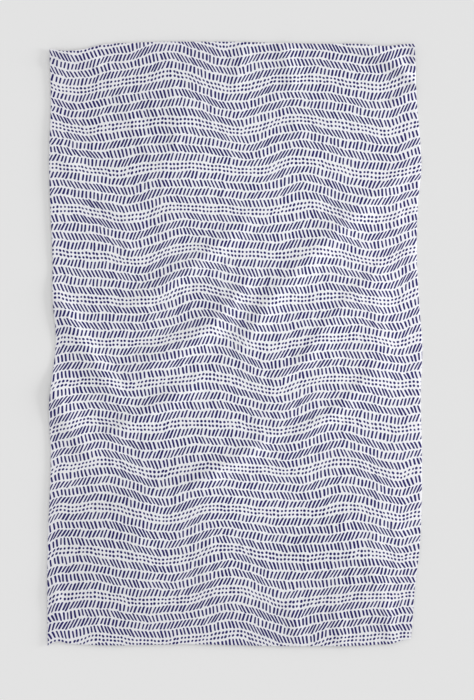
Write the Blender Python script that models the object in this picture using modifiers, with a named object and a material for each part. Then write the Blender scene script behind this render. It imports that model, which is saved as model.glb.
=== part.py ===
"""Tea towel lying flat, one hemless sheet of cloth with soft creases.

Units are metres, +Z is up. X runs across the towel and Y along it. The origin is under the
middle of the towel, on the surface it lies on. The tables below are in millimetres.
"""

from collections import namedtuple

import bpy
import numpy as np

MM = 0.001

# Driving dimensions
CLOTH_WIDTH = 0.457
CLOTH_LENGTH = 0.742
CLOTH_THICKNESS = 0.0012
CELLS_ACROSS = 42
CELLS_ALONG = 68

# How gently the cloth leaves the surface at the foot of a fold
SETTLE = 0.0005

# Steps along a fold's crest, the share of its length over which each end dies away, how much
# of its width it keeps at its ends, and how broadly its crest is rounded, as a share of its width
CREST_STEPS = 24
END_FADE = 0.36
END_WIDTH = 0.6
CREST_SOFTNESS = 0.22

# How far in from the cloth's sides the swells reach their full height
SWELL_INSET = 0.06

CLOTH_COLOUR = (0.83, 0.84, 0.86, 1.0)
CLOTH_ROUGHNESS = 0.9

# The four sides. along is measured from the side's middle, and out is how far the side stands
# out from its straight line there.
Side = namedtuple("Side", "along out")

LEFT_SIDE = (
    Side(-371, 0.8),
    Side(-254, 1.0),
    Side(-131, -2.9),
    Side(-69, -1.2),
    Side(-38, -4.5),
    Side(-7, -8.2),
    Side(17, -9.0),
    Side(54, -5.6),
    Side(116, -4.9),
    Side(178, -2.2),
    Side(240, -1.0),
    Side(300, -3.0),
    Side(371, -1.5),
)

RIGHT_SIDE = (
    Side(-371, -10.0),
    Side(-353, -8.1),
    Side(-316, -5.6),
    Side(-254, 1.2),
    Side(-193, 3.7),
    Side(-131, 3.7),
    Side(-69, 2.2),
    Side(-7, 4.3),
    Side(54, 0.0),
    Side(116, -2.5),
    Side(178, -0.6),
    Side(215, 3.1),
    Side(240, 2.4),
    Side(301, -2.5),
    Side(371, -5.0),
)

TOP_SIDE = (
    Side(-229, -6.2),
    Side(-214, -9.4),
    Side(-177, -5.2),
    Side(-165, -2.0),
    Side(-128, 0.5),
    Side(-41, 2.0),
    Side(8, 1.7),
    Side(57, 0.5),
    Side(107, -0.5),
    Side(156, -0.8),
    Side(196, -3.3),
    Side(218, -0.9),
    Side(229, -0.8),
)

BOTTOM_SIDE = (
    Side(-229, 1.8),
    Side(-219, -3.6),
    Side(-202, -1.4),
    Side(-190, -0.5),
    Side(-41, -0.5),
    Side(57, 1.6),
    Side(107, 1.6),
    Side(156, 1.4),
    Side(187, -0.1),
    Side(206, -1.7),
    Side(215, -4.8),
    Side(229, -7.0),
)

# The folds. Each crest runs from start through bend to end, as (x, y) from the middle of the cloth's
# straight-sided rectangle. rise is the crest's height, and left and right are how far it slopes down
# on either hand, walking from its start.
Fold = namedtuple("Fold", "start bend end rise left right")

FOLDS = (
    # The long diagonal, from the middle to the right side
    Fold((-2, -40), (82, 94), (265, 252), 3.8, 40, 36),
    # Two shorter diagonals on its upper left
    Fold((-180, -32), (-54, 2), (40, 121), 5.6, 34, 30),
    Fold((-160, 32), (-54, 94), (52, 183), 4.2, 34, 28),
    # The sharp ridge down from the left side, and the diagonal that it runs into
    Fold((-241, 128), (-185, 0), (-113, -106), 4.2, 26, 44),
    Fold((-182, -126), (-103, -84), (-14, -30), 5.4, 32, 28),
    # The swell at the left side
    Fold((-241, -7), (-218, -82), (-155, -163), 4.4, 46, 34),
    # The long low crease across the lower half, in three reaches
    Fold((-185, -205), (-85, -184), (3, -151), 4.2, 34, 24),
    Fold((-66, -183), (-3, -146), (77, -96), 5.0, 28, 26),
    Fold((35, -126), (112, -93), (186, -15), 3.0, 24, 28),
    # Short diagonals on the right
    Fold((72, -40), (123, 33), (196, 109), 2.4, 24, 48),
    Fold((48, -274), (109, -238), (176, -195), 2.4, 28, 28),
    # Flutes at the top side
    Fold((8, 380), (9, 348), (-2, 296), 2.0, 22, 24),
    Fold((50, 393), (66, 348), (77, 301), 2.2, 24, 22),
    # Rolls at the two top corners
    Fold((119, 363), (191, 347), (235, 304), 2.2, 20, 22),
    Fold((-239, 338), (-192, 353), (-140, 329), 3.0, 20, 20),
    # Flutes at the bottom side
    Fold((65, -304), (75, -343), (82, -390), 2.0, 20, 20),
    Fold((124, -316), (132, -353), (136, -395), 1.8, 20, 20),
    Fold((183, -299), (191, -341), (196, -390), 2.2, 22, 20),
    # The faint ridge across the upper left
    Fold((-234, 282), (-177, 190), (-76, 131), 1.8, 24, 26),
)

# The broad low swells between the folds, steeper towards the left side. They lie down again at
# the cloth's sides.
SWELLS = (
    # Across the lower half, from left to right
    Fold((-153, -106), (-135, -242), (-115, -390), 3.4, 70, 240),
    Fold((-91, -106), (-34, -242), (3, -390), 6.6, 170, 300),
    Fold((119, -153), (164, -279), (193, -400), 4.0, 290, 200),
    # Down the right side
    Fold((174, 146), (181, 17), (159, -131), 1.8, 76, 60),
    # In the upper left
    Fold((-61, 412), (-69, 289), (-86, 104), 3.6, 150, 160),
)


def smooth_through(places, values, at):
    """The value, at each place asked for, of a smooth curve through a table's rows."""
    slopes = np.gradient(values, places)
    row = np.clip(np.searchsorted(places, at) - 1, 0, len(places) - 2)
    span = places[row + 1] - places[row]
    share = np.clip((at - places[row]) / span, 0.0, 1.0)
    rising = share * share * (3.0 - 2.0 * share)
    leaving = share * (1.0 - share) ** 2 * span * slopes[row]
    arriving = share**2 * (share - 1.0) * span * slopes[row + 1]
    return values[row] * (1.0 - rising) + values[row + 1] * rising + leaving + arriving


def side_at(side, at):
    """How far a side stands out, at distances along it in metres."""
    along, out = (np.array(column, float) * MM for column in zip(*side))
    return smooth_through(along, out, at)


def eased(share):
    """A share between 0 and 1 that leaves 0 and reaches 1 gently."""
    share = np.clip(share, 0.0, 1.0)
    return share * share * (3.0 - 2.0 * share)


def crest_points(fold):
    """Points along a fold's crest, on the one smooth arc through its start, bend and end."""
    start, bend, end = (np.array(point, float) * MM for point in fold[:3])
    pull = 2.0 * bend - 0.5 * (start + end)
    share = np.linspace(0.0, 1.0, CREST_STEPS + 1)[:, None]
    return start * (1.0 - share) ** 2 + pull * 2.0 * share * (1.0 - share) + end * share**2


def fold_height(fold, x, y):
    """How high one fold raises the cloth at each point."""
    crest = crest_points(fold)
    nearest = np.full(x.shape, np.inf)
    reached = np.zeros(x.shape)
    on_left = np.zeros(x.shape, bool)
    for step in range(CREST_STEPS):
        run_x, run_y = crest[step + 1] - crest[step]
        off_x = x - crest[step][0]
        off_y = y - crest[step][1]
        share = np.clip((off_x * run_x + off_y * run_y) / (run_x**2 + run_y**2), 0.0, 1.0)
        distance = np.hypot(off_x - share * run_x, off_y - share * run_y)
        closer = distance < nearest
        nearest = np.where(closer, distance, nearest)
        reached = np.where(closer, (step + share) / CREST_STEPS, reached)
        on_left = np.where(closer, run_x * off_y - run_y * off_x > 0.0, on_left)
    body = eased(reached / END_FADE) * eased((1.0 - reached) / END_FADE)
    width = np.where(on_left, fold.left, fold.right) * MM
    width = width * (END_WIDTH + (1.0 - END_WIDTH) * body)
    from_crest = np.hypot(nearest / width, CREST_SOFTNESS)
    share_up = np.clip(1.0 - from_crest, 0.0, 1.0) / (1.0 - CREST_SOFTNESS)
    return fold.rise * MM * body * share_up**2


def settled(height):
    """Heights with the low parts laid flat on the surface, and a gentle start to what rises."""
    meeting = np.clip(height, 0.0, 2.0 * SETTLE) ** 2 / (4.0 * SETTLE)
    return np.where(height < 2.0 * SETTLE, meeting, height - SETTLE)


def centred(places):
    """Places moved so that the middle of their range is at 0."""
    return places - (places.min() + places.max()) / 2.0


def cloth_places(across, along):
    """Where the cloth's underside lies, for shares of its width and length from -1 to 1."""
    half_width = CLOTH_WIDTH / 2
    half_length = CLOTH_LENGTH / 2
    left_out = side_at(LEFT_SIDE, along * half_length)
    right_out = side_at(RIGHT_SIDE, along * half_length)
    bottom_out = side_at(BOTTOM_SIDE, across * half_width)
    top_out = side_at(TOP_SIDE, across * half_width)
    to_right = (across + 1.0) / 2.0
    to_top = (along + 1.0) / 2.0
    x = across * half_width + to_right * right_out - (1.0 - to_right) * left_out
    y = along * half_length + to_top * top_out - (1.0 - to_top) * bottom_out

    inside_x = eased((1.0 - np.abs(across)) * half_width / SWELL_INSET)
    inside_y = eased((1.0 - np.abs(along)) * half_length / SWELL_INSET)
    swells = sum(fold_height(swell, x, y) for swell in SWELLS)
    height = swells * inside_x * inside_y + sum(fold_height(fold, x, y) for fold in FOLDS)
    return np.stack([centred(x), centred(y), settled(height)], axis=1)


def cloth_material():
    """White cotton and linen cloth, matt."""
    material = bpy.data.materials.new("cloth")
    material.use_nodes = True
    shader = material.node_tree.nodes["Principled BSDF"]
    shader.inputs["Base Color"].default_value = CLOTH_COLOUR
    shader.inputs["Roughness"].default_value = CLOTH_ROUGHNESS
    shader.inputs["Metallic"].default_value = 0.0
    material.diffuse_color = CLOTH_COLOUR
    return material


def make_cloth(collection):
    """The towel: a grid laid out to the cloth's sides and folds, then given its thickness."""
    bpy.ops.mesh.primitive_grid_add(x_subdivisions=CELLS_ACROSS, y_subdivisions=CELLS_ALONG, size=2)
    cloth = bpy.context.object
    cloth.name = "cloth"
    cloth.data.name = "cloth"
    for owner in list(cloth.users_collection):
        owner.objects.unlink(cloth)
    collection.objects.link(cloth)

    shares = np.zeros(len(cloth.data.vertices) * 3)
    cloth.data.vertices.foreach_get("co", shares)
    across, along = shares.reshape(-1, 3)[:, :2].T
    cloth.data.vertices.foreach_set("co", cloth_places(across, along).ravel())
    cloth.data.update()
    cloth.data.shade_smooth()

    sheet = cloth.modifiers.new("thickness", "SOLIDIFY")
    sheet.thickness = CLOTH_THICKNESS
    sheet.offset = 1.0
    cloth.data.materials.append(cloth_material())
    return cloth


def main():
    for item in list(bpy.data.objects):
        bpy.data.objects.remove(item, do_unlink=True)
    towel = bpy.data.collections.new("tea_towel")
    bpy.context.scene.collection.children.link(towel)
    make_cloth(towel)


main()
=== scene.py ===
# %% [markdown]
# # A printed tea towel, lying flat
#
# A tea towel is one piece of plain cotton and linen cloth, about 46 by 75 cm, printed on one side.
# This one has been shaken out and laid face up. It doesn't lie quite flat: the cloth remembers how
# it was folded and pushed together, so soft diagonal ridges run across it and its sides wander.
#
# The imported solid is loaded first, and stays where it is. It says where the towel lies and how
# large it is. Everything below is made around it, in metres, with Z up from the table.

# %% Load the solid
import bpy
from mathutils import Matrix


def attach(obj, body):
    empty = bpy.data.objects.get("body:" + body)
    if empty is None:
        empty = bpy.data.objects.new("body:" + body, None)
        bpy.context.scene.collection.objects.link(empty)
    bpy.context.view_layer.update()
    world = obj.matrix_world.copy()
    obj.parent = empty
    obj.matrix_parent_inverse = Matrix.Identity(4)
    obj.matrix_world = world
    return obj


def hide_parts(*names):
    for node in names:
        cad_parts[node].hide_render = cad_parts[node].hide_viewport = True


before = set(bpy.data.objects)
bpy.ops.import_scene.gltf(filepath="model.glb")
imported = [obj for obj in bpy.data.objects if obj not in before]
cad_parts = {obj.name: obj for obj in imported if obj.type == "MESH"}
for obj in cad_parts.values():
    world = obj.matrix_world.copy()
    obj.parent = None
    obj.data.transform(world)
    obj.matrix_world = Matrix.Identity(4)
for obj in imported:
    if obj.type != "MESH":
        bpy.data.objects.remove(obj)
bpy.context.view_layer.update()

# %% Libraries and units
import math
from collections import namedtuple

import bmesh
import bpy
import numpy as np
from mathutils import Vector, noise

MM = 0.001
TAU = math.tau

# %% [markdown]
# ## The outline
#
# A cut piece of cloth starts as a rectangle, but it never lies as one. Where a fold takes cloth up,
# the side is drawn in, and a loose corner is pushed out. Moving the corners alone would leave the
# sides straight. Instead each side has a short table: how far along it, how far it stands out from
# its straight line, and how high it curls off the table. A smooth curve runs through the rows.

# %% Sizes of the cloth as it lies
CLOTH_WIDTH = 0.457
CLOTH_LENGTH = 0.742
CLOTH_THICKNESS = 0.9 * MM

# %% The four sides, in millimetres
Side = namedtuple("Side", "along out lift")

LEFT_SIDE = (
    Side(-371, 0.8, 1.8),
    Side(-254, 1.0, 1.7),
    Side(-131, -2.9, 1.4),
    Side(-69, -1.2, 0.6),
    Side(-38, -4.5, 0.4),
    Side(-7, -8.2, 0.2),
    Side(17, -9.0, 0.2),
    Side(54, -5.6, 0.4),
    Side(116, -4.9, 1.4),
    Side(178, -2.2, 1.8),
    Side(240, -1.0, 1.9),
    Side(300, -3.0, 1.8),
    Side(371, -1.5, 1.8),
)

RIGHT_SIDE = (
    Side(-371, -10.0, 1.6),
    Side(-353, -8.1, 1.4),
    Side(-316, -5.6, 1.2),
    Side(-254, 1.2, 1.6),
    Side(-193, 3.7, 0.8),
    Side(-131, 3.7, 0.3),
    Side(-69, 2.2, 0.2),
    Side(-7, 4.3, 0.2),
    Side(54, 0.0, 0.2),
    Side(116, -2.5, 0.3),
    Side(178, -0.6, 0.8),
    Side(215, 3.1, 1.4),
    Side(240, 2.4, 1.2),
    Side(301, -2.5, 0.9),
    Side(371, -5.0, 1.4),
)

TOP_SIDE = (
    Side(-229, -6.2, 2.2),
    Side(-214, -9.4, 1.8),
    Side(-177, -5.2, 1.6),
    Side(-165, -2.0, 1.6),
    Side(-128, 0.5, 1.8),
    Side(-41, 2.0, 1.8),
    Side(8, 1.7, 1.4),
    Side(57, 0.5, 1.4),
    Side(107, -0.5, 1.6),
    Side(156, -0.8, 1.6),
    Side(196, -3.3, 1.4),
    Side(218, -0.9, 1.4),
    Side(229, -0.8, 1.4),
)

BOTTOM_SIDE = (
    Side(-229, 1.8, 1.0),
    Side(-219, -3.6, 1.2),
    Side(-202, -1.4, 1.6),
    Side(-190, -0.5, 1.8),
    Side(-41, -0.5, 2.4),
    Side(57, 1.6, 2.4),
    Side(107, 1.6, 2.4),
    Side(156, 1.4, 2.2),
    Side(187, -0.1, 2.0),
    Side(206, -1.7, 1.8),
    Side(215, -4.8, 1.6),
    Side(229, -7.0, 1.4),
)


# %% A smooth curve through a side's rows
def smooth_through(places, values, at):
    """The value, at each place asked for, of a smooth curve through a table's rows."""
    slopes = np.gradient(values, places)
    row = np.clip(np.searchsorted(places, at) - 1, 0, len(places) - 2)
    span = places[row + 1] - places[row]
    share = np.clip((at - places[row]) / span, 0.0, 1.0)
    rising = share * share * (3.0 - 2.0 * share)
    leaving = share * (1.0 - share) ** 2 * span * slopes[row]
    arriving = share**2 * (share - 1.0) * span * slopes[row + 1]
    return values[row] * (1.0 - rising) + values[row + 1] * rising + leaving + arriving


def side_at(side, at):
    """How far a side stands out, and how high it curls, at distances along it in metres."""
    along, out, lift = (np.array(column, float) * MM for column in zip(*side))
    return smooth_through(along, out, at), smooth_through(along, lift, at)


print("the left side draws in", -min(row.out for row in LEFT_SIDE), "mm beside the sharp ridge")

# %% [markdown]
# ## The folds
#
# A cloth that has been pushed a little together can't shrink, so it stands up in ridges. Each one
# has a crest, which is a gentle arc, softly rounded, and two slopes that run out onto the table. A
# cloth simulation could make ridges, but it wouldn't put them where this towel has them. So they
# are listed one by one: a row gives the crest's start, bend and end, how high it stands, and how
# far it slopes down on its left and right hand, walking from its start.

# %% The main folds, in millimetres
Fold = namedtuple("Fold", "start bend end rise left right")

MAIN_FOLDS = (
    # The long diagonal, from the middle to the right side, and the steep start of it
    Fold((-2, -40), (82, 94), (265, 252), 3.7, 40, 38),
    Fold((17, 0), (35, 40), (67, 82), 1.0, 15, 16),
    # Two shorter diagonals on its upper left
    Fold((-180, -32), (-54, 2), (40, 121), 5.6, 34, 30),
    Fold((-160, 32), (-54, 94), (52, 183), 4.2, 34, 26),
    # The sharp ridge down from the left side, and the diagonal that it runs into
    Fold((-232, 94), (-185, 0), (-113, -106), 4.2, 24, 40),
    Fold((-182, -126), (-103, -84), (-14, -30), 5.4, 32, 26),
    # The swell at the left side
    Fold((-236, -14), (-212, -84), (-155, -163), 4.0, 42, 32),
    # The long low crease across the lower half, in three reaches
    Fold((-185, -205), (-85, -184), (3, -151), 4.2, 34, 20),
    Fold((-66, -183), (-3, -146), (77, -96), 5.2, 26, 22),
    Fold((35, -126), (112, -93), (186, -15), 2.8, 20, 26),
    # Short diagonals on the right
    Fold((72, -40), (123, 33), (196, 109), 2.2, 20, 48),
    Fold((35, -57), (76, -28), (119, 7), 2.0, 26, 17),
    Fold((48, -274), (109, -238), (176, -195), 1.8, 26, 26),
    # Flutes at the top side
    Fold((8, 380), (9, 348), (-2, 296), 2.0, 20, 22),
    Fold((50, 393), (66, 348), (77, 301), 2.4, 22, 20),
    # Rolls at the top corners
    Fold((124, 365), (191, 348), (240, 300), 3.8, 22, 13),
    Fold((-239, 338), (-192, 353), (-140, 329), 3.4, 16, 16),
    # The bright shoulder under the top right corner
    Fold((156, 301), (196, 299), (235, 296), 0.8, 16, 18),
    # Flutes at the bottom side
    Fold((65, -304), (75, -343), (82, -390), 1.8, 18, 18),
    Fold((124, -316), (132, -353), (136, -395), 1.8, 18, 17),
    Fold((183, -299), (191, -341), (196, -390), 2.2, 18, 18),
    # The faint ridge across the upper left
    Fold((-234, 282), (-177, 190), (-76, 131), 1.4, 22, 24),
    # Pinches in the upper left
    Fold((-133, 301), (-120, 262), (-91, 212), 1.1, 14, 12),
    Fold((-81, 338), (-71, 289), (-66, 227), 1.0, 24, 20),
)

print(len(MAIN_FOLDS), "main folds, the highest", max(fold.rise for fold in MAIN_FOLDS), "mm")

# %% The broad low swells between the folds, steeper towards the left side
SWELLS = (
    # Across the lower half, from left to right
    Fold((-148, -106), (-126, -242), (-104, -390), 4.4, 84, 250),
    Fold((-91, -106), (-30, -242), (10, -390), 7.2, 160, 300),
    Fold((119, -153), (164, -279), (193, -400), 5.0, 290, 200),
    # Down the right side
    Fold((174, 146), (181, 17), (159, -131), 1.8, 76, 60),
    # In the upper left
    Fold((-61, 412), (-69, 289), (-86, 104), 4.4, 150, 170),
)

# How far in from the cloth's sides the swells reach their full height
SWELL_INSET = 0.06

print(len(SWELLS), "swells, the highest", max(swell.rise for swell in SWELLS), "mm")

# %% How a fold dies away
# The steps along a crest, the share of its length over which each end dies away, how much of its
# width it keeps there, and how broadly the crest is rounded, as a share of the width. The last is
# how gently the cloth leaves the table at the foot of a fold.
CREST_STEPS = 24
END_FADE = 0.36
END_WIDTH = 0.6
CREST_SOFTNESS = 0.22
SETTLE = 0.5 * MM

print("a fold stands at its full height over", round(1 - 2 * END_FADE, 2), "of its length")


# %% A gentle start and end
def eased(share):
    """A share between 0 and 1 that leaves 0 and reaches 1 gently."""
    share = np.clip(share, 0.0, 1.0)
    return share * share * (3.0 - 2.0 * share)


# %% One fold's height
def crest_points(fold):
    """Points along a fold's crest, on the one smooth arc through its start, bend and end."""
    start, bend, end = (np.array(point, float) * MM for point in fold[:3])
    pull = 2.0 * bend - 0.5 * (start + end)
    share = np.linspace(0.0, 1.0, CREST_STEPS + 1)[:, None]
    return start * (1.0 - share) ** 2 + pull * 2.0 * share * (1.0 - share) + end * share**2


def fold_height(fold, x, y):
    """How high one fold raises the cloth at each point."""
    crest = crest_points(fold)
    nearest = np.full(x.shape, np.inf)
    reached = np.zeros(x.shape)
    on_left = np.zeros(x.shape, bool)
    for step in range(CREST_STEPS):
        run_x, run_y = crest[step + 1] - crest[step]
        off_x = x - crest[step][0]
        off_y = y - crest[step][1]
        share = np.clip((off_x * run_x + off_y * run_y) / (run_x**2 + run_y**2), 0.0, 1.0)
        distance = np.hypot(off_x - share * run_x, off_y - share * run_y)
        closer = distance < nearest
        nearest = np.where(closer, distance, nearest)
        reached = np.where(closer, (step + share) / CREST_STEPS, reached)
        on_left = np.where(closer, run_x * off_y - run_y * off_x > 0.0, on_left)
    body = eased(reached / END_FADE) * eased((1.0 - reached) / END_FADE)
    width = np.where(on_left, fold.left, fold.right) * MM
    width = width * (END_WIDTH + (1.0 - END_WIDTH) * body)
    from_crest = np.hypot(nearest / width, CREST_SOFTNESS)
    share_up = np.clip(1.0 - from_crest, 0.0, 1.0) / (1.0 - CREST_SOFTNESS)
    return fold.rise * MM * body * share_up**2


def settled(height):
    """Heights with the low parts laid flat on the table, and a gentle start to what rises."""
    meeting = np.clip(height, 0.0, 2.0 * SETTLE) ** 2 / (4.0 * SETTLE)
    return np.where(height < 2.0 * SETTLE, meeting, height - SETTLE)


# %% How high the folds and swells stand, along the towel's middle line
line = np.linspace(-CLOTH_LENGTH / 2, CLOTH_LENGTH / 2, 200)
heights = settled(sum(fold_height(fold, 0.0 * line, line) for fold in MAIN_FOLDS + SWELLS))
print("on the middle line the cloth rises to", round(float(heights.max()) / MM, 1), "mm")

# %% [markdown]
# ## Small creases and slack
#
# Between the folds the cloth still isn't smooth. It has short pinches, and a slackness that only
# shows as a faint mottling in slanting light. The pinches are more rows of the same table. The
# slackness is random, so it comes from smooth noise, which is the same at every run.

# %% Small creases, in millimetres
SMALL_CREASES = (
    # Above the long low crease
    Fold((-130, -133), (-96, -124), (-51, -116), 1.4, 12, 17),
    Fold((22, -73), (30, -94), (34, -114), 1.1, 10, 11),
    Fold((69, -69), (71, -88), (65, -107), 1.0, 9, 13),
    Fold((90, -84), (102, -91), (119, -86), 0.9, 9, 10),
    # In the lower right corner
    Fold((129, -267), (153, -262), (180, -274), 1.6, 10, 16),
    Fold((170, -274), (175, -291), (183, -314), 1.4, 20, 13),
    Fold((195, -210), (202, -227), (199, -246), 1.2, 10, 13),
    Fold((167, -227), (175, -242), (171, -257), 0.9, 9, 11),
    # In the lower left
    Fold((-43, -262), (-33, -282), (-38, -305), 1.1, 12, 14),
    Fold((-35, -228), (-28, -247), (-33, -263), 0.9, 9, 11),
    Fold((-124, -220), (-117, -237), (-120, -256), 1.0, 10, 12),
    Fold((15, -252), (35, -267), (59, -274), 0.9, 10, 12),
    Fold((-220, -267), (-218, -319), (-211, -366), 1.6, 12, 20),
    # Between the diagonals
    Fold((-50, -14), (-44, -30), (-49, -48), 0.9, 9, 11),
    Fold((-118, 35), (-106, 31), (-93, 26), 0.8, 8, 9),
    Fold((-20, -64), (-2, -74), (15, -69), 0.8, 9, 11),
    Fold((30, 116), (43, 101), (48, 84), 0.8, 10, 10),
    # At the top
    Fold((35, 299), (60, 310), (82, 336), 1.2, 13, 20),
    # In the upper left
    Fold((-144, 317), (-138, 304), (-140, 288), 1.1, 10, 12),
    Fold((-104, 308), (-99, 291), (-106, 275), 1.1, 10, 12),
    Fold((-77, 266), (-72, 249), (-78, 232), 1.0, 10, 12),
    Fold((-90, 209), (-85, 193), (-91, 177), 0.9, 9, 11),
    Fold((-176, 268), (-171, 252), (-177, 236), 0.9, 9, 11),
    Fold((-178, 210), (-172, 195), (-177, 179), 0.9, 9, 11),
    Fold((-122, 241), (-96, 232), (-65, 211), 1.3, 10, 14),
    Fold((-136, 142), (-130, 126), (-135, 109), 1.1, 9, 12),
    Fold((-167, 94), (-150, 84), (-130, 84), 0.8, 9, 10),
    # In the top right corner
    Fold((224, 386), (226, 358), (220, 330), 2.6, 10, 13),
    Fold((184, 290), (213, 308), (250, 326), 2.4, 12, 13),
    # In the upper right
    Fold((78, 289), (77, 267), (83, 242), 1.3, 16, 11),
    Fold((136, 261), (164, 257), (192, 238), 1.3, 10, 14),
    Fold((30, 252), (35, 237), (30, 220), 0.8, 9, 10),
    Fold((107, 207), (119, 198), (127, 183), 0.9, 10, 11),
    Fold((196, 183), (203, 163), (201, 141), 0.8, 10, 12),
)

print(len(SMALL_CREASES), "small creases")

# %% Slack between the folds
# Its usual and its greatest height, how broad a lump is, and how many sizes of lump there are, how
# much finer each is than the last, and how quickly the finer ones grow faint.
SLACK_HEIGHT = 0.45 * MM
SLACK_LIMIT = 1.35 * MM
SLACK_REACH = 0.046
SLACK_SIZES = 3
SLACK_FINER = 2.0
SLACK_FADE = 0.6


def slack(x, y):
    """A faint unevenness of the cloth, from nothing up to its greatest height."""
    lumps = [
        noise.fractal((a / SLACK_REACH, b / SLACK_REACH, 0.0), SLACK_FADE, SLACK_FINER, SLACK_SIZES)
        for a, b in zip(x, y)
    ]
    return np.clip(SLACK_HEIGHT * (1.0 + np.array(lumps)), 0.0, SLACK_LIMIT)


# %% [markdown]
# ## Where every thread lies
#
# One function now says where the cloth is. It takes a share of the width and of the length, from
# -1 to 1, moves the point out with the nearest sides, adds up the folds, and lays what is low flat
# on the table. The swells lie down again at the sides. The sides themselves curl up a little, over
# the last seven centimetres of the cloth. At the end the whole is moved so that the middle of its
# width and of its length is over the origin, as it is in the solid.

# %% The cloth's underside
LIFT_REACH = 0.07


def centred(places):
    """Places moved so that the middle of their range is at 0."""
    return places - (places.min() + places.max()) / 2.0


def cloth_places(across, along):
    """Where the cloth's underside lies, for shares of its width and length from -1 to 1."""
    half_width = CLOTH_WIDTH / 2
    half_length = CLOTH_LENGTH / 2
    left_out, left_lift = side_at(LEFT_SIDE, along * half_length)
    right_out, right_lift = side_at(RIGHT_SIDE, along * half_length)
    bottom_out, bottom_lift = side_at(BOTTOM_SIDE, across * half_width)
    top_out, top_lift = side_at(TOP_SIDE, across * half_width)
    to_right = (across + 1.0) / 2.0
    to_top = (along + 1.0) / 2.0
    x = across * half_width + to_right * right_out - (1.0 - to_right) * left_out
    y = along * half_length + to_top * top_out - (1.0 - to_top) * bottom_out

    inset_x = (1.0 - np.abs(across)) * half_width
    inset_y = (1.0 - np.abs(along)) * half_length
    lift_x = np.where(across > 0.0, right_lift, left_lift) * eased(1.0 - inset_x / LIFT_REACH)
    lift_y = np.where(along > 0.0, top_lift, bottom_lift) * eased(1.0 - inset_y / LIFT_REACH)
    inside = eased(inset_x / SWELL_INSET) * eased(inset_y / SWELL_INSET)
    height = np.hypot(lift_x, lift_y) + inside * sum(fold_height(swell, x, y) for swell in SWELLS)
    for fold in MAIN_FOLDS + SMALL_CREASES:
        height = height + fold_height(fold, x, y)
    return np.stack([centred(x), centred(y), settled(height) + slack(x, y)], axis=1)


# %% [markdown]
# ## The sheet
#
# A plane with one face per few threads would need millions of faces, so the mesh follows only what
# bends: a grid of cells about 3 mm wide, smooth shaded. Solidify turns the surface into cloth with
# a face, an underside and a cut edge, and a small Bevel rounds that edge, because the last threads
# of a real one are soft. Each point also remembers its place on the cloth before it was laid down,
# in metres, so that print and weave follow the threads over the folds.

# %% Many points or faces at once
def read_vectors(values, name):
    """One attribute of many points or faces as rows of three numbers."""
    flat = np.zeros(len(values) * 3)
    values.foreach_get(name, flat)
    return flat.reshape(-1, 3)


# %% A grid laid out as the cloth
CELLS_ACROSS = 156
CELLS_ALONG = 254
FLAT_WIDTH = 0.460
FLAT_LENGTH = 0.750


def laid_grid(name):
    """The cloth's underside as an open grid, with its threads' places in an attribute."""
    grid = bmesh.new()
    bmesh.ops.create_grid(grid, x_segments=CELLS_ACROSS, y_segments=CELLS_ALONG, size=1.0)
    mesh = bpy.data.meshes.new(name)
    grid.to_mesh(mesh)
    grid.free()
    shares = read_vectors(mesh.vertices, "co")
    mesh.vertices.foreach_set("co", cloth_places(shares[:, 0], shares[:, 1]).ravel())
    flat = shares * (FLAT_WIDTH / 2, FLAT_LENGTH / 2, 0.0)
    place = mesh.attributes.new("cloth_place", "FLOAT_VECTOR", "POINT")
    place.data.foreach_set("vector", flat.ravel())
    mesh.update()
    return mesh


# %% Thickness and a soft cut edge
EDGE_ROUND = 0.32 * MM
EDGE_STEPS = 2
EDGE_ANGLE = math.radians(60)


def thick_sheet(name, open_mesh):
    """The grid made into a closed sheet, with its modifiers applied."""
    draft = bpy.data.objects.new(name + "_draft", open_mesh)
    bpy.context.scene.collection.objects.link(draft)
    thickness = draft.modifiers.new("thickness", "SOLIDIFY")
    thickness.thickness = CLOTH_THICKNESS
    thickness.offset = 1.0
    edge = draft.modifiers.new("soft edge", "BEVEL")
    edge.limit_method = "ANGLE"
    edge.angle_limit = EDGE_ANGLE
    edge.width = EDGE_ROUND
    edge.segments = EDGE_STEPS
    seen = bpy.context.evaluated_depsgraph_get()
    mesh = bpy.data.meshes.new_from_object(draft.evaluated_get(seen))
    bpy.data.objects.remove(draft)
    mesh.name = name
    mesh.shade_smooth()
    piece = bpy.data.objects.new(name, mesh)
    bpy.context.scene.collection.objects.link(piece)
    return piece


towel = thick_sheet("towel", laid_grid("laid_grid"))
triangles = sum(len(face.vertices) - 2 for face in towel.data.polygons)
print("towel:", len(towel.data.vertices), "points,", triangles, "triangles")

# %% [markdown]
# ## A map for baking
#
# A game engine or a viewer gets the finish as pictures, so every face needs its own place in a
# square. An automatic unwrap would cut the cloth into many islands. A towel needs only three kinds:
# its face, which gets most of the square, its underside, and four thin strips for the cut edge.

# %% Room for each island, in shares of the square
# A face belongs to the printed side or to the underside if it points up or down by more than LEVEL.
LEVEL = 0.7
MARGIN = 0.01
MAP_HEIGHT = 0.96
FACE_WIDTH = 0.59
UNDERSIDE_START = 0.62
UNDERSIDE_WIDTH = 0.28
STRIP_START = 0.92
STRIP_STEP = 0.018
STRIP_WIDTH = 0.012


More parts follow.
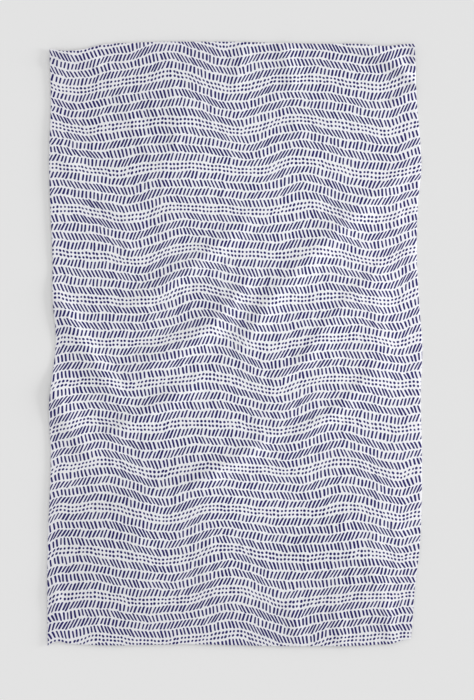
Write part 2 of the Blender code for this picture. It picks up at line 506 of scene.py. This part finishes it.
# %% Lay the islands out
def lay_baking_map(mesh):
    """Gives the face, the underside and the cut edge their own islands."""
    corners = np.zeros(len(mesh.loops), int)
    mesh.loops.foreach_get("vertex_index", corners)
    sizes = np.zeros(len(mesh.polygons), int)
    mesh.polygons.foreach_get("loop_total", sizes)
    facing = np.repeat(read_vectors(mesh.polygons, "normal"), sizes, axis=0)
    turned = read_vectors(mesh.vertices, "normal")[corners]
    place = read_vectors(mesh.attributes["cloth_place"].data, "vector")[corners]
    across = place[:, 0] / FLAT_WIDTH + 0.5
    along = place[:, 1] / FLAT_LENGTH + 0.5

    sideways = np.abs(facing[:, 0]) > np.abs(facing[:, 1])
    strip = np.where(sideways, facing[:, 0] > 0.0, 2 + (facing[:, 1] > 0.0))
    u = STRIP_START + STRIP_STEP * strip + STRIP_WIDTH * (1.0 + turned[:, 2]) / 2.0
    v = MARGIN + MAP_HEIGHT * np.where(sideways, along, across)
    on_face = facing[:, 2] > LEVEL
    on_underside = facing[:, 2] < -LEVEL
    u = np.where(on_face, MARGIN + FACE_WIDTH * across, u)
    u = np.where(on_underside, UNDERSIDE_START + UNDERSIDE_WIDTH * (1.0 - across), u)
    v = np.where(on_face | on_underside, MARGIN + MAP_HEIGHT * along, v)
    islands = mesh.uv_layers.new(name="OFBake")
    islands.data.foreach_set("uv", np.stack([u, v], axis=1).ravel())
    return on_face.mean()


print("share of corners on the face", round(float(lay_baking_map(towel.data)), 2))


# %% Which points are on the printed face
def mark_printed_face(mesh):
    """An attribute that is 1 on the printed face, 0 underneath, and turns over at the edge."""
    up = read_vectors(mesh.vertices, "normal")[:, 2]
    printed = mesh.attributes.new("face_up", "FLOAT", "POINT")
    printed.data.foreach_set("value", eased(0.5 + up))
    return (up > 0.0).mean()


print("share of points that face up", round(float(mark_printed_face(towel.data)), 2))

# %% [markdown]
# ## Shader sums written as Python
#
# Blender's shader maths is made of small nodes with wires between them. A print like this one needs
# dozens, and a drawing of them is hard to read. Here one small class stands for a wire, and adds
# the right Math node when two wires are added or multiplied, so the print can be written as sums.

# %% A wire that can be added, multiplied and compared
class Wire:
    """A socket that carries a number which varies over the surface."""

    def __init__(self, finish, socket):
        self.finish = finish
        self.socket = socket

    def math(self, operation, *given):
        node = self.finish.node("Math", {"operation": operation}, dict(enumerate(given)))
        return Wire(self.finish, node.outputs["Value"])

    def __add__(self, other):
        return self.math("ADD", self, other)

    def __radd__(self, other):
        return self.math("ADD", other, self)

    def __sub__(self, other):
        return self.math("SUBTRACT", self, other)

    def __rsub__(self, other):
        return self.math("SUBTRACT", other, self)

    def __mul__(self, other):
        return self.math("MULTIPLY", self, other)

    def __rmul__(self, other):
        return self.math("MULTIPLY", other, self)

    def __truediv__(self, other):
        return self.math("DIVIDE", self, other)

    def __rtruediv__(self, other):
        return self.math("DIVIDE", other, self)

    def __mod__(self, other):
        return self.math("FLOORED_MODULO", self, other)

    def __abs__(self):
        return self.math("ABSOLUTE", self)

    def __lt__(self, other):
        return self.math("LESS_THAN", self, other)

    def floor(self):
        return self.math("FLOOR", self)

    def sine(self):
        return self.math("SINE", self)

    def root(self):
        return self.math("SQRT", self)

    def at_least(self, other):
        return self.math("MAXIMUM", self, other)

    def length_with(self, other):
        """The long side of the right-angled triangle on this wire and another."""
        return (self * self + other * other).root()

    def eased_between(self, low, high):
        """0 below low, 1 above high, and a smooth step between them."""
        node = self.finish.node(
            "MapRange",
            {"interpolation_type": "SMOOTHSTEP"},
            {"Value": self, "From Min": low, "From Max": high},
        )
        return Wire(self.finish, node.outputs["Result"])


# %% The places of a Mix node's colour sockets
MIX_FIRST = 6
MIX_SECOND = 7
MIX_RESULT = 2


# %% One material and its nodes
class Finish:
    """One material. Every node it has, apart from its shader, comes from the node method."""

    def __init__(self, name):
        self.material = bpy.data.materials.new(name)
        self.material.use_nodes = True
        self.tree = self.material.node_tree
        self.shader = self.tree.nodes["Principled BSDF"]

    def node(self, kind, settings, sockets):
        """Adds a node: its type, its settings, then the values or wires of its sockets."""
        made = self.tree.nodes.new("ShaderNode" + kind)
        for name, setting in settings.items():
            setattr(made, name, setting)
        for name, given in sockets.items():
            self.feed(made.inputs[name], given)
        return made

    def feed(self, socket, given):
        """Links a wire into a socket, or sets a plain value there."""
        if isinstance(given, Wire):
            self.tree.links.new(given.socket, socket)
        else:
            socket.default_value = given

    def wire(self, node, output):
        return Wire(self, node.outputs[output])

    def vector(self, x, y):
        return self.wire(self.node("CombineXYZ", {}, {"X": x, "Y": y}), "Vector")

    def parts(self, vector):
        """The three numbers of a vector, as wires."""
        node = self.node("SeparateXYZ", {}, {"Vector": vector})
        return [self.wire(node, output) for output in "XYZ"]

    def mixed(self, share, first, second):
        """A colour between two others."""
        sockets = {"Factor": share, MIX_FIRST: first, MIX_SECOND: second}
        node = self.node("Mix", {"data_type": "RGBA"}, sockets)
        return self.wire(node, MIX_RESULT)


# %% [markdown]
# ## The print
#
# The print is a plain repeat drawn for this towel: rows of short strokes that lean left and right
# by turns, like herringbone, with a double row of dots after every four. The rows lie in waves that
# drift a little from row to row. Printing by hand leaves no two strokes quite alike either, so each
# gets a small change of place, length, width and lean, which a white noise node gives for the
# stroke's row and column.
#
# A picture would do this too, but it blurs when looked at closely. Worked out from the thread's
# place, every stroke stays sharp.

# %% Sizes of the print, in millimetres
ROW_PITCH = 10.7
STROKE_SPACING = 4.7
STROKE_HALF_LENGTH = 3.3
STROKE_HALF_WIDTH = 1.14
STROKE_LEAN = math.radians(22)
DOT_RADIUS = 1.5
DOT_OFFSET = 2.5
ROWS_IN_REPEAT = 5

# How softly a stroke's edge ends, and how far outside it the white is tinted
INK_BLEED = 0.08
TINT_REACH = 1.1

# How much strokes differ: in place and in lean, and in length and width as a share
PLACE_CHANGE = 0.8
LEAN_CHANGE = 0.16
LENGTH_CHANGE = 0.28
WIDTH_CHANGE = 0.30

row_count = round(FLAT_LENGTH / MM / ROW_PITCH)
stroke_count = round(FLAT_WIDTH / MM / STROKE_SPACING)
print("about", row_count, "rows of", stroke_count, "strokes")

# %% The waves that the rows lie in, in millimetres
# Each wave has a length across the towel and one along it, so it drifts sideways from row to row.
Wave = namedtuple("Wave", "height across along")

WAVES = (
    Wave(5.6, 158, 1300),
    Wave(3.2, 262, -420),
    Wave(1.6, 96, 240),
    Wave(0.5, 61, 83),
    Wave(0.4, 37, -57),
)

print("a row strays by up to", round(sum(wave.height for wave in WAVES), 1), "mm")

# %% The rows
Rows = namedtuple("Rows", "number above slope")


def printed_rows(x, y):
    """Which row a point is in, how far it is above the row's middle, and how the row slopes."""
    raised = y
    slope = 0.0
    for wave in WAVES:
        turn = x * (TAU / wave.across) + y * (TAU / wave.along)
        raised = raised + turn.sine() * wave.height
        slope = slope + (turn + TAU / 4).sine() * (wave.height * TAU / wave.across)
    rows = raised / ROW_PITCH
    number = rows.floor()
    return Rows(number, (rows - number - 0.5) * ROW_PITCH, slope)


# %% Chance numbers for one stroke
# A row's own shift is drawn as if for a stroke in this column.
SHIFT_COLUMN = 3.0


def chance(finish, column, row):
    """Four numbers between 0 and 1 that belong to one column of one row."""
    spot = finish.vector(column + 0.5, row + 0.5)
    node = finish.node("TexWhiteNoise", {"noise_dimensions": "2D"}, {"Vector": spot})
    return [finish.wire(node, "Value"), *finish.parts(finish.wire(node, "Color"))]


# %% Strokes and dots
def distance_to_ink(finish, x, y):
    """How far a point is outside the nearest stroke or dot, in millimetres, below 0 inside it."""
    # Which row the point is in, and which stroke of the row, along the strokes' own lean
    rows = printed_rows(x, y)
    dotted = rows.number % ROWS_IN_REPEAT < 0.5
    lean = (rows.number % 2 * 2 - 1) * math.tan(STROKE_LEAN) * (1 - dotted)
    tilt = rows.slope - lean
    upright = x + tilt * rows.above
    shift = chance(finish, rows.number, SHIFT_COLUMN)[0]
    columns = upright / STROKE_SPACING + shift
    column = columns.floor()
    place, length, width, turn = chance(finish, column, rows.number)

    # How far the point is from the stroke's middle, across it and along it
    across = (columns - column - 0.5) * STROKE_SPACING + (place - 0.5) * PLACE_CHANGE
    across = across + (turn - 0.5) * LEAN_CHANGE * rows.above
    along = rows.above + (turn - 0.5) * PLACE_CHANGE

    # How long and how wide this stroke is, and how far outside it or its two dots the point is
    half_length = (length * LENGTH_CHANGE + (1 - LENGTH_CHANGE / 2)) * STROKE_HALF_LENGTH
    fullness = width * WIDTH_CHANGE + (1 - WIDTH_CHANGE / 2)
    past_end = (abs(along) - half_length).at_least(0.0)
    upright_across = across / (tilt * tilt + 1).root()
    from_stroke = upright_across.length_with(past_end) - fullness * STROKE_HALF_WIDTH
    from_dot = across.length_with(abs(along) - DOT_OFFSET) - fullness * DOT_RADIUS
    return from_stroke + (from_dot - from_stroke) * dotted


# %% [markdown]
# ## The weave
#
# Plain weave is the simplest cloth: each thread goes over one and under the next, about twenty to
# the centimetre. The threads are cotton with some linen, so here and there one is thicker. From
# where the camera stands none of it can be told apart, but it gives the white its dry, matt look,
# and close up it is what makes this cloth and not paper. It is too fine for the mesh, so it goes
# into the bump and a little into the colour.

# %% Sizes of the weave, in millimetres
THREAD_PITCH = 0.52
SLUB_WIDTH = 0.9
SLUB_LENGTH = 26.0

# How high a thread stands where it goes under another, how far a crossing thread presses the warp
# down, and how high the weft stands, all as shares of the warp's full height
UNDER = 0.45
CROSSING = 0.35
WEFT_HEIGHT = 0.5

print("about", round(10 / THREAD_PITCH), "threads to the centimetre")


# %% Threads, and the thick places in them
def thread_height(x, y):
    """How high the threads stand at each point of a plain weave, from 0 to about 1."""
    turn = TAU / 2 / THREAD_PITCH
    warp = abs((x * turn).sine())
    weft = abs((y * turn).sine())
    over = ((x / THREAD_PITCH).floor() + (y / THREAD_PITCH).floor()) % 2
    warp_height = warp * (UNDER + over * (1 - UNDER)) * (1 - weft * CROSSING)
    return warp_height + weft * (1 - over * (1 - UNDER)) * WEFT_HEIGHT


def slubs(finish, x, y):
    """Thick places in single threads, running both ways, about 0.5 on average."""
    ways = (
        finish.vector(x / SLUB_LENGTH, y / SLUB_WIDTH),
        finish.vector(x / SLUB_WIDTH, y / SLUB_LENGTH),
    )
    weft, warp = [
        finish.node("TexNoise", {"noise_dimensions": "2D"}, {"Vector": way, "Scale": 1.0, "Detail": 1.0})
        for way in ways
    ]
    return (finish.wire(weft, "Fac") + finish.wire(warp, "Fac")) * 0.5


# %% [markdown]
# ## The cloth's finish
#
# The ground is a cool white, a little uneven where threads are thicker. The ink is a dark blue that
# sinks into the threads, so it is matt too, slightly paler on their crowns, and a trace of its blue
# tints the white beside each stroke. Underneath it only shows through. Cotton scatters light at
# its fuzz, which a low sheen stands for.
#
# Two materials, one for each side of the cloth, would do too, but they would meet in a hard line
# at the cut edge. One material, with an attribute that says how much of the print shows, turns
# over softly there.

# %% Colours
GROUND = (0.868, 0.867, 0.879, 1.0)
GROUND_SHADE = (0.81, 0.809, 0.829, 1.0)
TINT = (0.828, 0.829, 0.94, 1.0)
INK = (0.012, 0.009, 0.084, 1.0)
INK_PALE = (0.025, 0.020, 0.148, 1.0)
SHOW_THROUGH = 0.22

# %% How the cloth takes light
CLOTH_ROUGHNESS = 0.88
INK_ROUGHNESS = 0.80
GLOSS = 0.15
SHEEN = 0.04
SHEEN_ROUGHNESS = 0.5

# How deep the weave's bump is, how strongly it shows, and how much a thick thread adds to it
BUMP_DEPTH = 0.09 * MM
BUMP_STRENGTH = 0.5
SLUB_RISE = 0.8

# Between which two thicknesses the ground turns from its shade to its full white
THIN = 0.3
THICK = 0.7


# %% The printed cloth
def printed_cloth():
    finish = Finish("printed_cloth")
    place = finish.node("Attribute", {"attribute_name": "cloth_place"}, {})
    x, y, _ = [part / MM for part in finish.parts(finish.wire(place, "Vector"))]
    face = finish.node("Attribute", {"attribute_name": "face_up"}, {})
    printed = finish.wire(face, "Fac") * (1 - SHOW_THROUGH) + SHOW_THROUGH

    threads = thread_height(x, y)
    thick = slubs(finish, x, y)
    outside = distance_to_ink(finish, x, y)
    ink = (1 - outside.eased_between(-INK_BLEED, INK_BLEED)) * printed
    tinted = (1 - outside.eased_between(0.0, TINT_REACH)) * printed
    ground = finish.mixed(thick.eased_between(THIN, THICK), GROUND_SHADE, GROUND)
    ground = finish.mixed(tinted, ground, TINT)
    dye = finish.mixed(threads, INK, INK_PALE)
    finish.feed(finish.shader.inputs["Base Color"], finish.mixed(ink, ground, dye))
    roughness = CLOTH_ROUGHNESS + ink * (INK_ROUGHNESS - CLOTH_ROUGHNESS)
    finish.feed(finish.shader.inputs["Roughness"], roughness)

    height = threads + thick * SLUB_RISE
    relief = {"Strength": BUMP_STRENGTH, "Distance": BUMP_DEPTH, "Height": height}
    bump = finish.node("Bump", {}, relief)
    finish.feed(finish.shader.inputs["Normal"], finish.wire(bump, "Normal"))
    finish.shader.inputs["Sheen Weight"].default_value = SHEEN
    finish.shader.inputs["Sheen Roughness"].default_value = SHEEN_ROUGHNESS
    finish.shader.inputs["Specular IOR Level"].default_value = GLOSS
    print("printed cloth:", len(finish.tree.nodes), "nodes")
    return finish.material


towel.data.materials.clear()
towel.data.materials.append(printed_cloth())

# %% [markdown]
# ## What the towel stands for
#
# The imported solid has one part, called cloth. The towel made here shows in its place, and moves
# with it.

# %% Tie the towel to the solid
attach(towel, "root")
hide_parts("cloth")

# %% [markdown]
# ## The light
#
# A long, low lamp on the right rakes across the cloth: its right-hand slopes brighten, its left-hand
# ones darken, and the left side throws the widest shadow. A sun would rake too, but it lights every
# place alike, and the picture grows darker towards its left and its corners. So the lamp is a soft
# box that stands close by, with its light narrowed to a beam that is aimed at the table on the
# towel's right. A white surround fills the shadows.

# %% The lamp
# How far away it is, at what angle above the table, and how far towards the towel's top. Then where
# it is aimed, how large its face is, how wide its beam opens, and its power in watts.
LAMP_DISTANCE = 1.5
LAMP_ELEVATION = math.radians(13)
LAMP_NORTH = 0.15
LAMP_AIM = Vector((0.42, 0.08, 0.0))
LAMP_WIDTH = 0.79
LAMP_HEIGHT = 0.48
LAMP_SPREAD = math.radians(44)
LAMP_POWER = 1.85

LAMP_OUT = LAMP_DISTANCE * math.cos(LAMP_ELEVATION)
LAMP_UP = LAMP_DISTANCE * math.sin(LAMP_ELEVATION)
LAMP_PLACE = Vector((LAMP_OUT, LAMP_NORTH, LAMP_UP))

print("lamp", round(LAMP_OUT, 2), "m to the right and", round(LAMP_UP, 2), "m up")


def low_lamp():
    lamp = bpy.data.objects.new("lamp", bpy.data.lights.new("lamp", "AREA"))
    bpy.context.scene.collection.objects.link(lamp)
    lamp.location = LAMP_PLACE
    lamp.rotation_euler = (LAMP_AIM - LAMP_PLACE).to_track_quat("-Z", "Y").to_euler()
    lamp.data.shape = "RECTANGLE"
    lamp.data.size = LAMP_WIDTH
    lamp.data.size_y = LAMP_HEIGHT
    lamp.data.spread = LAMP_SPREAD
    lamp.data.energy = LAMP_POWER


# %% The surround
SURROUND = 0.782


def white_surround():
    world = bpy.data.worlds.new("surround")
    world.use_nodes = True
    world.node_tree.nodes["Background"].inputs["Color"].default_value = (1.0, 1.0, 1.0, 1.0)
    world.node_tree.nodes["Background"].inputs["Strength"].default_value = SURROUND
    bpy.context.scene.world = world


low_lamp()
white_surround()
bpy.context.scene.view_settings.view_transform = "Standard"

# %% [markdown]
# ## The table
#
# The table is plain and pale, and reaches past the view on all sides. The picture's table is even,
# though a near lamp would light it unevenly. So the table's own tone makes up for the lamp: it is
# worked out from the lamp's place, and is darkest where the lamp is brightest. The towel's colour
# makes up for nothing, so there the fall of light shows.
#
# A shader could work that out, but the lamp is wide, and stands close to the table: it has to be
# added up over its whole face. That is quicker in Python, once for each point of the table's mesh,
# which keeps its tone in an attribute that the material reads.

# %% How bright the lamp is across the table
# Its face is added up from this many tiles.
LAMP_COLUMNS = 9
LAMP_ROWS = 12


def lamp_parts():
    """The middles of the small tiles that the lamp's face is added up from."""
    facing = (LAMP_AIM - LAMP_PLACE).to_track_quat("-Z", "Y")
    for row in range(LAMP_ROWS):
        for column in range(LAMP_COLUMNS):
            right = LAMP_WIDTH * ((column + 0.5) / LAMP_COLUMNS - 0.5)
            up = LAMP_HEIGHT * ((row + 0.5) / LAMP_ROWS - 0.5)
            yield np.array(LAMP_PLACE + facing @ Vector((right, up, 0.0)))


def lamp_light(places):
    """The lamp's light on the table at each place, up to a constant."""
    towards_lamp = np.array((LAMP_PLACE - LAMP_AIM).normalized())
    light = np.zeros(len(places))
    for part in lamp_parts():
        away = part - places
        distance = np.linalg.norm(away, axis=1)
        cosine = away @ towards_lamp / distance
        sine = np.sqrt(np.maximum(1.0 - cosine**2, 0.0))
        # The beam is brightest straight ahead, and ends half of its spread away from there
        beam = np.maximum(cosine - sine / math.tan(LAMP_SPREAD / 2), 0.0)
        light += beam * part[2] / distance**3
    return light


# %% The table
# Its tone under the towel's middle, and the lamp's share of the light there. Then its size, how many
# cells it has each way, and the gap that keeps it just under the cloth.
TABLE_TONE = 0.7765
LAMP_SHARE = 0.207
TABLE_SIZE = 6.0
TABLE_CELLS = 300
TABLE_GAP = 0.1 * MM


def plain_table():
    bpy.ops.mesh.primitive_grid_add(
        x_subdivisions=TABLE_CELLS,
        y_subdivisions=TABLE_CELLS,
        size=TABLE_SIZE,
        location=(0.0, 0.0, -TABLE_GAP),
    )
    table = bpy.context.object
    table.name = "table"
    lamp = lamp_light(read_vectors(table.data.vertices, "co"))
    lamp = lamp / lamp_light(np.zeros((1, 3)))
    tones = TABLE_TONE / (lamp * LAMP_SHARE + (1.0 - LAMP_SHARE))
    print("table's tone from", round(float(tones.min()), 2), "to", round(float(tones.max()), 2))
    kept = table.data.attributes.new("tone", "FLOAT", "POINT")
    kept.data.foreach_set("value", tones)
    finish = Finish("table")
    tone = finish.node("Attribute", {"attribute_name": "tone"}, {})
    finish.feed(finish.shader.inputs["Base Color"], finish.wire(tone, "Color"))
    finish.shader.inputs["Roughness"].default_value = 1.0
    finish.shader.inputs["Specular IOR Level"].default_value = 0.0
    table.data.materials.append(finish.material)


plain_table()

# %% [markdown]
# ## The camera
#
# The picture looks straight down, and nothing in it leans away from its middle, so the camera stands
# far off and has a long lens. A camera without perspective would do nearly as well for a thing this
# flat. The distance follows from the lens: 700 pixels of 1.235 mm each fill the picture's height.

# %% The camera, straight above
# The picture's height in pixels and the size of one, the point in its centre, and the lens in mm
PICTURE_HEIGHT = 700
PIXEL = 1.235 * MM
VIEW_CENTRE = Vector((2.7, -7.6, 0.0)) * MM
LENS = 100.0
SENSOR = 36.0


def camera_above():
    camera = bpy.data.objects.new("camera", bpy.data.cameras.new("camera"))
    bpy.context.scene.collection.objects.link(camera)
    camera.data.lens = LENS
    camera.data.sensor_width = SENSOR
    height = PICTURE_HEIGHT * PIXEL * LENS / SENSOR
    camera.location = VIEW_CENTRE + Vector((0.0, 0.0, height))
    bpy.context.scene.camera = camera
    print("camera", round(height, 2), "m above the table")


camera_above()
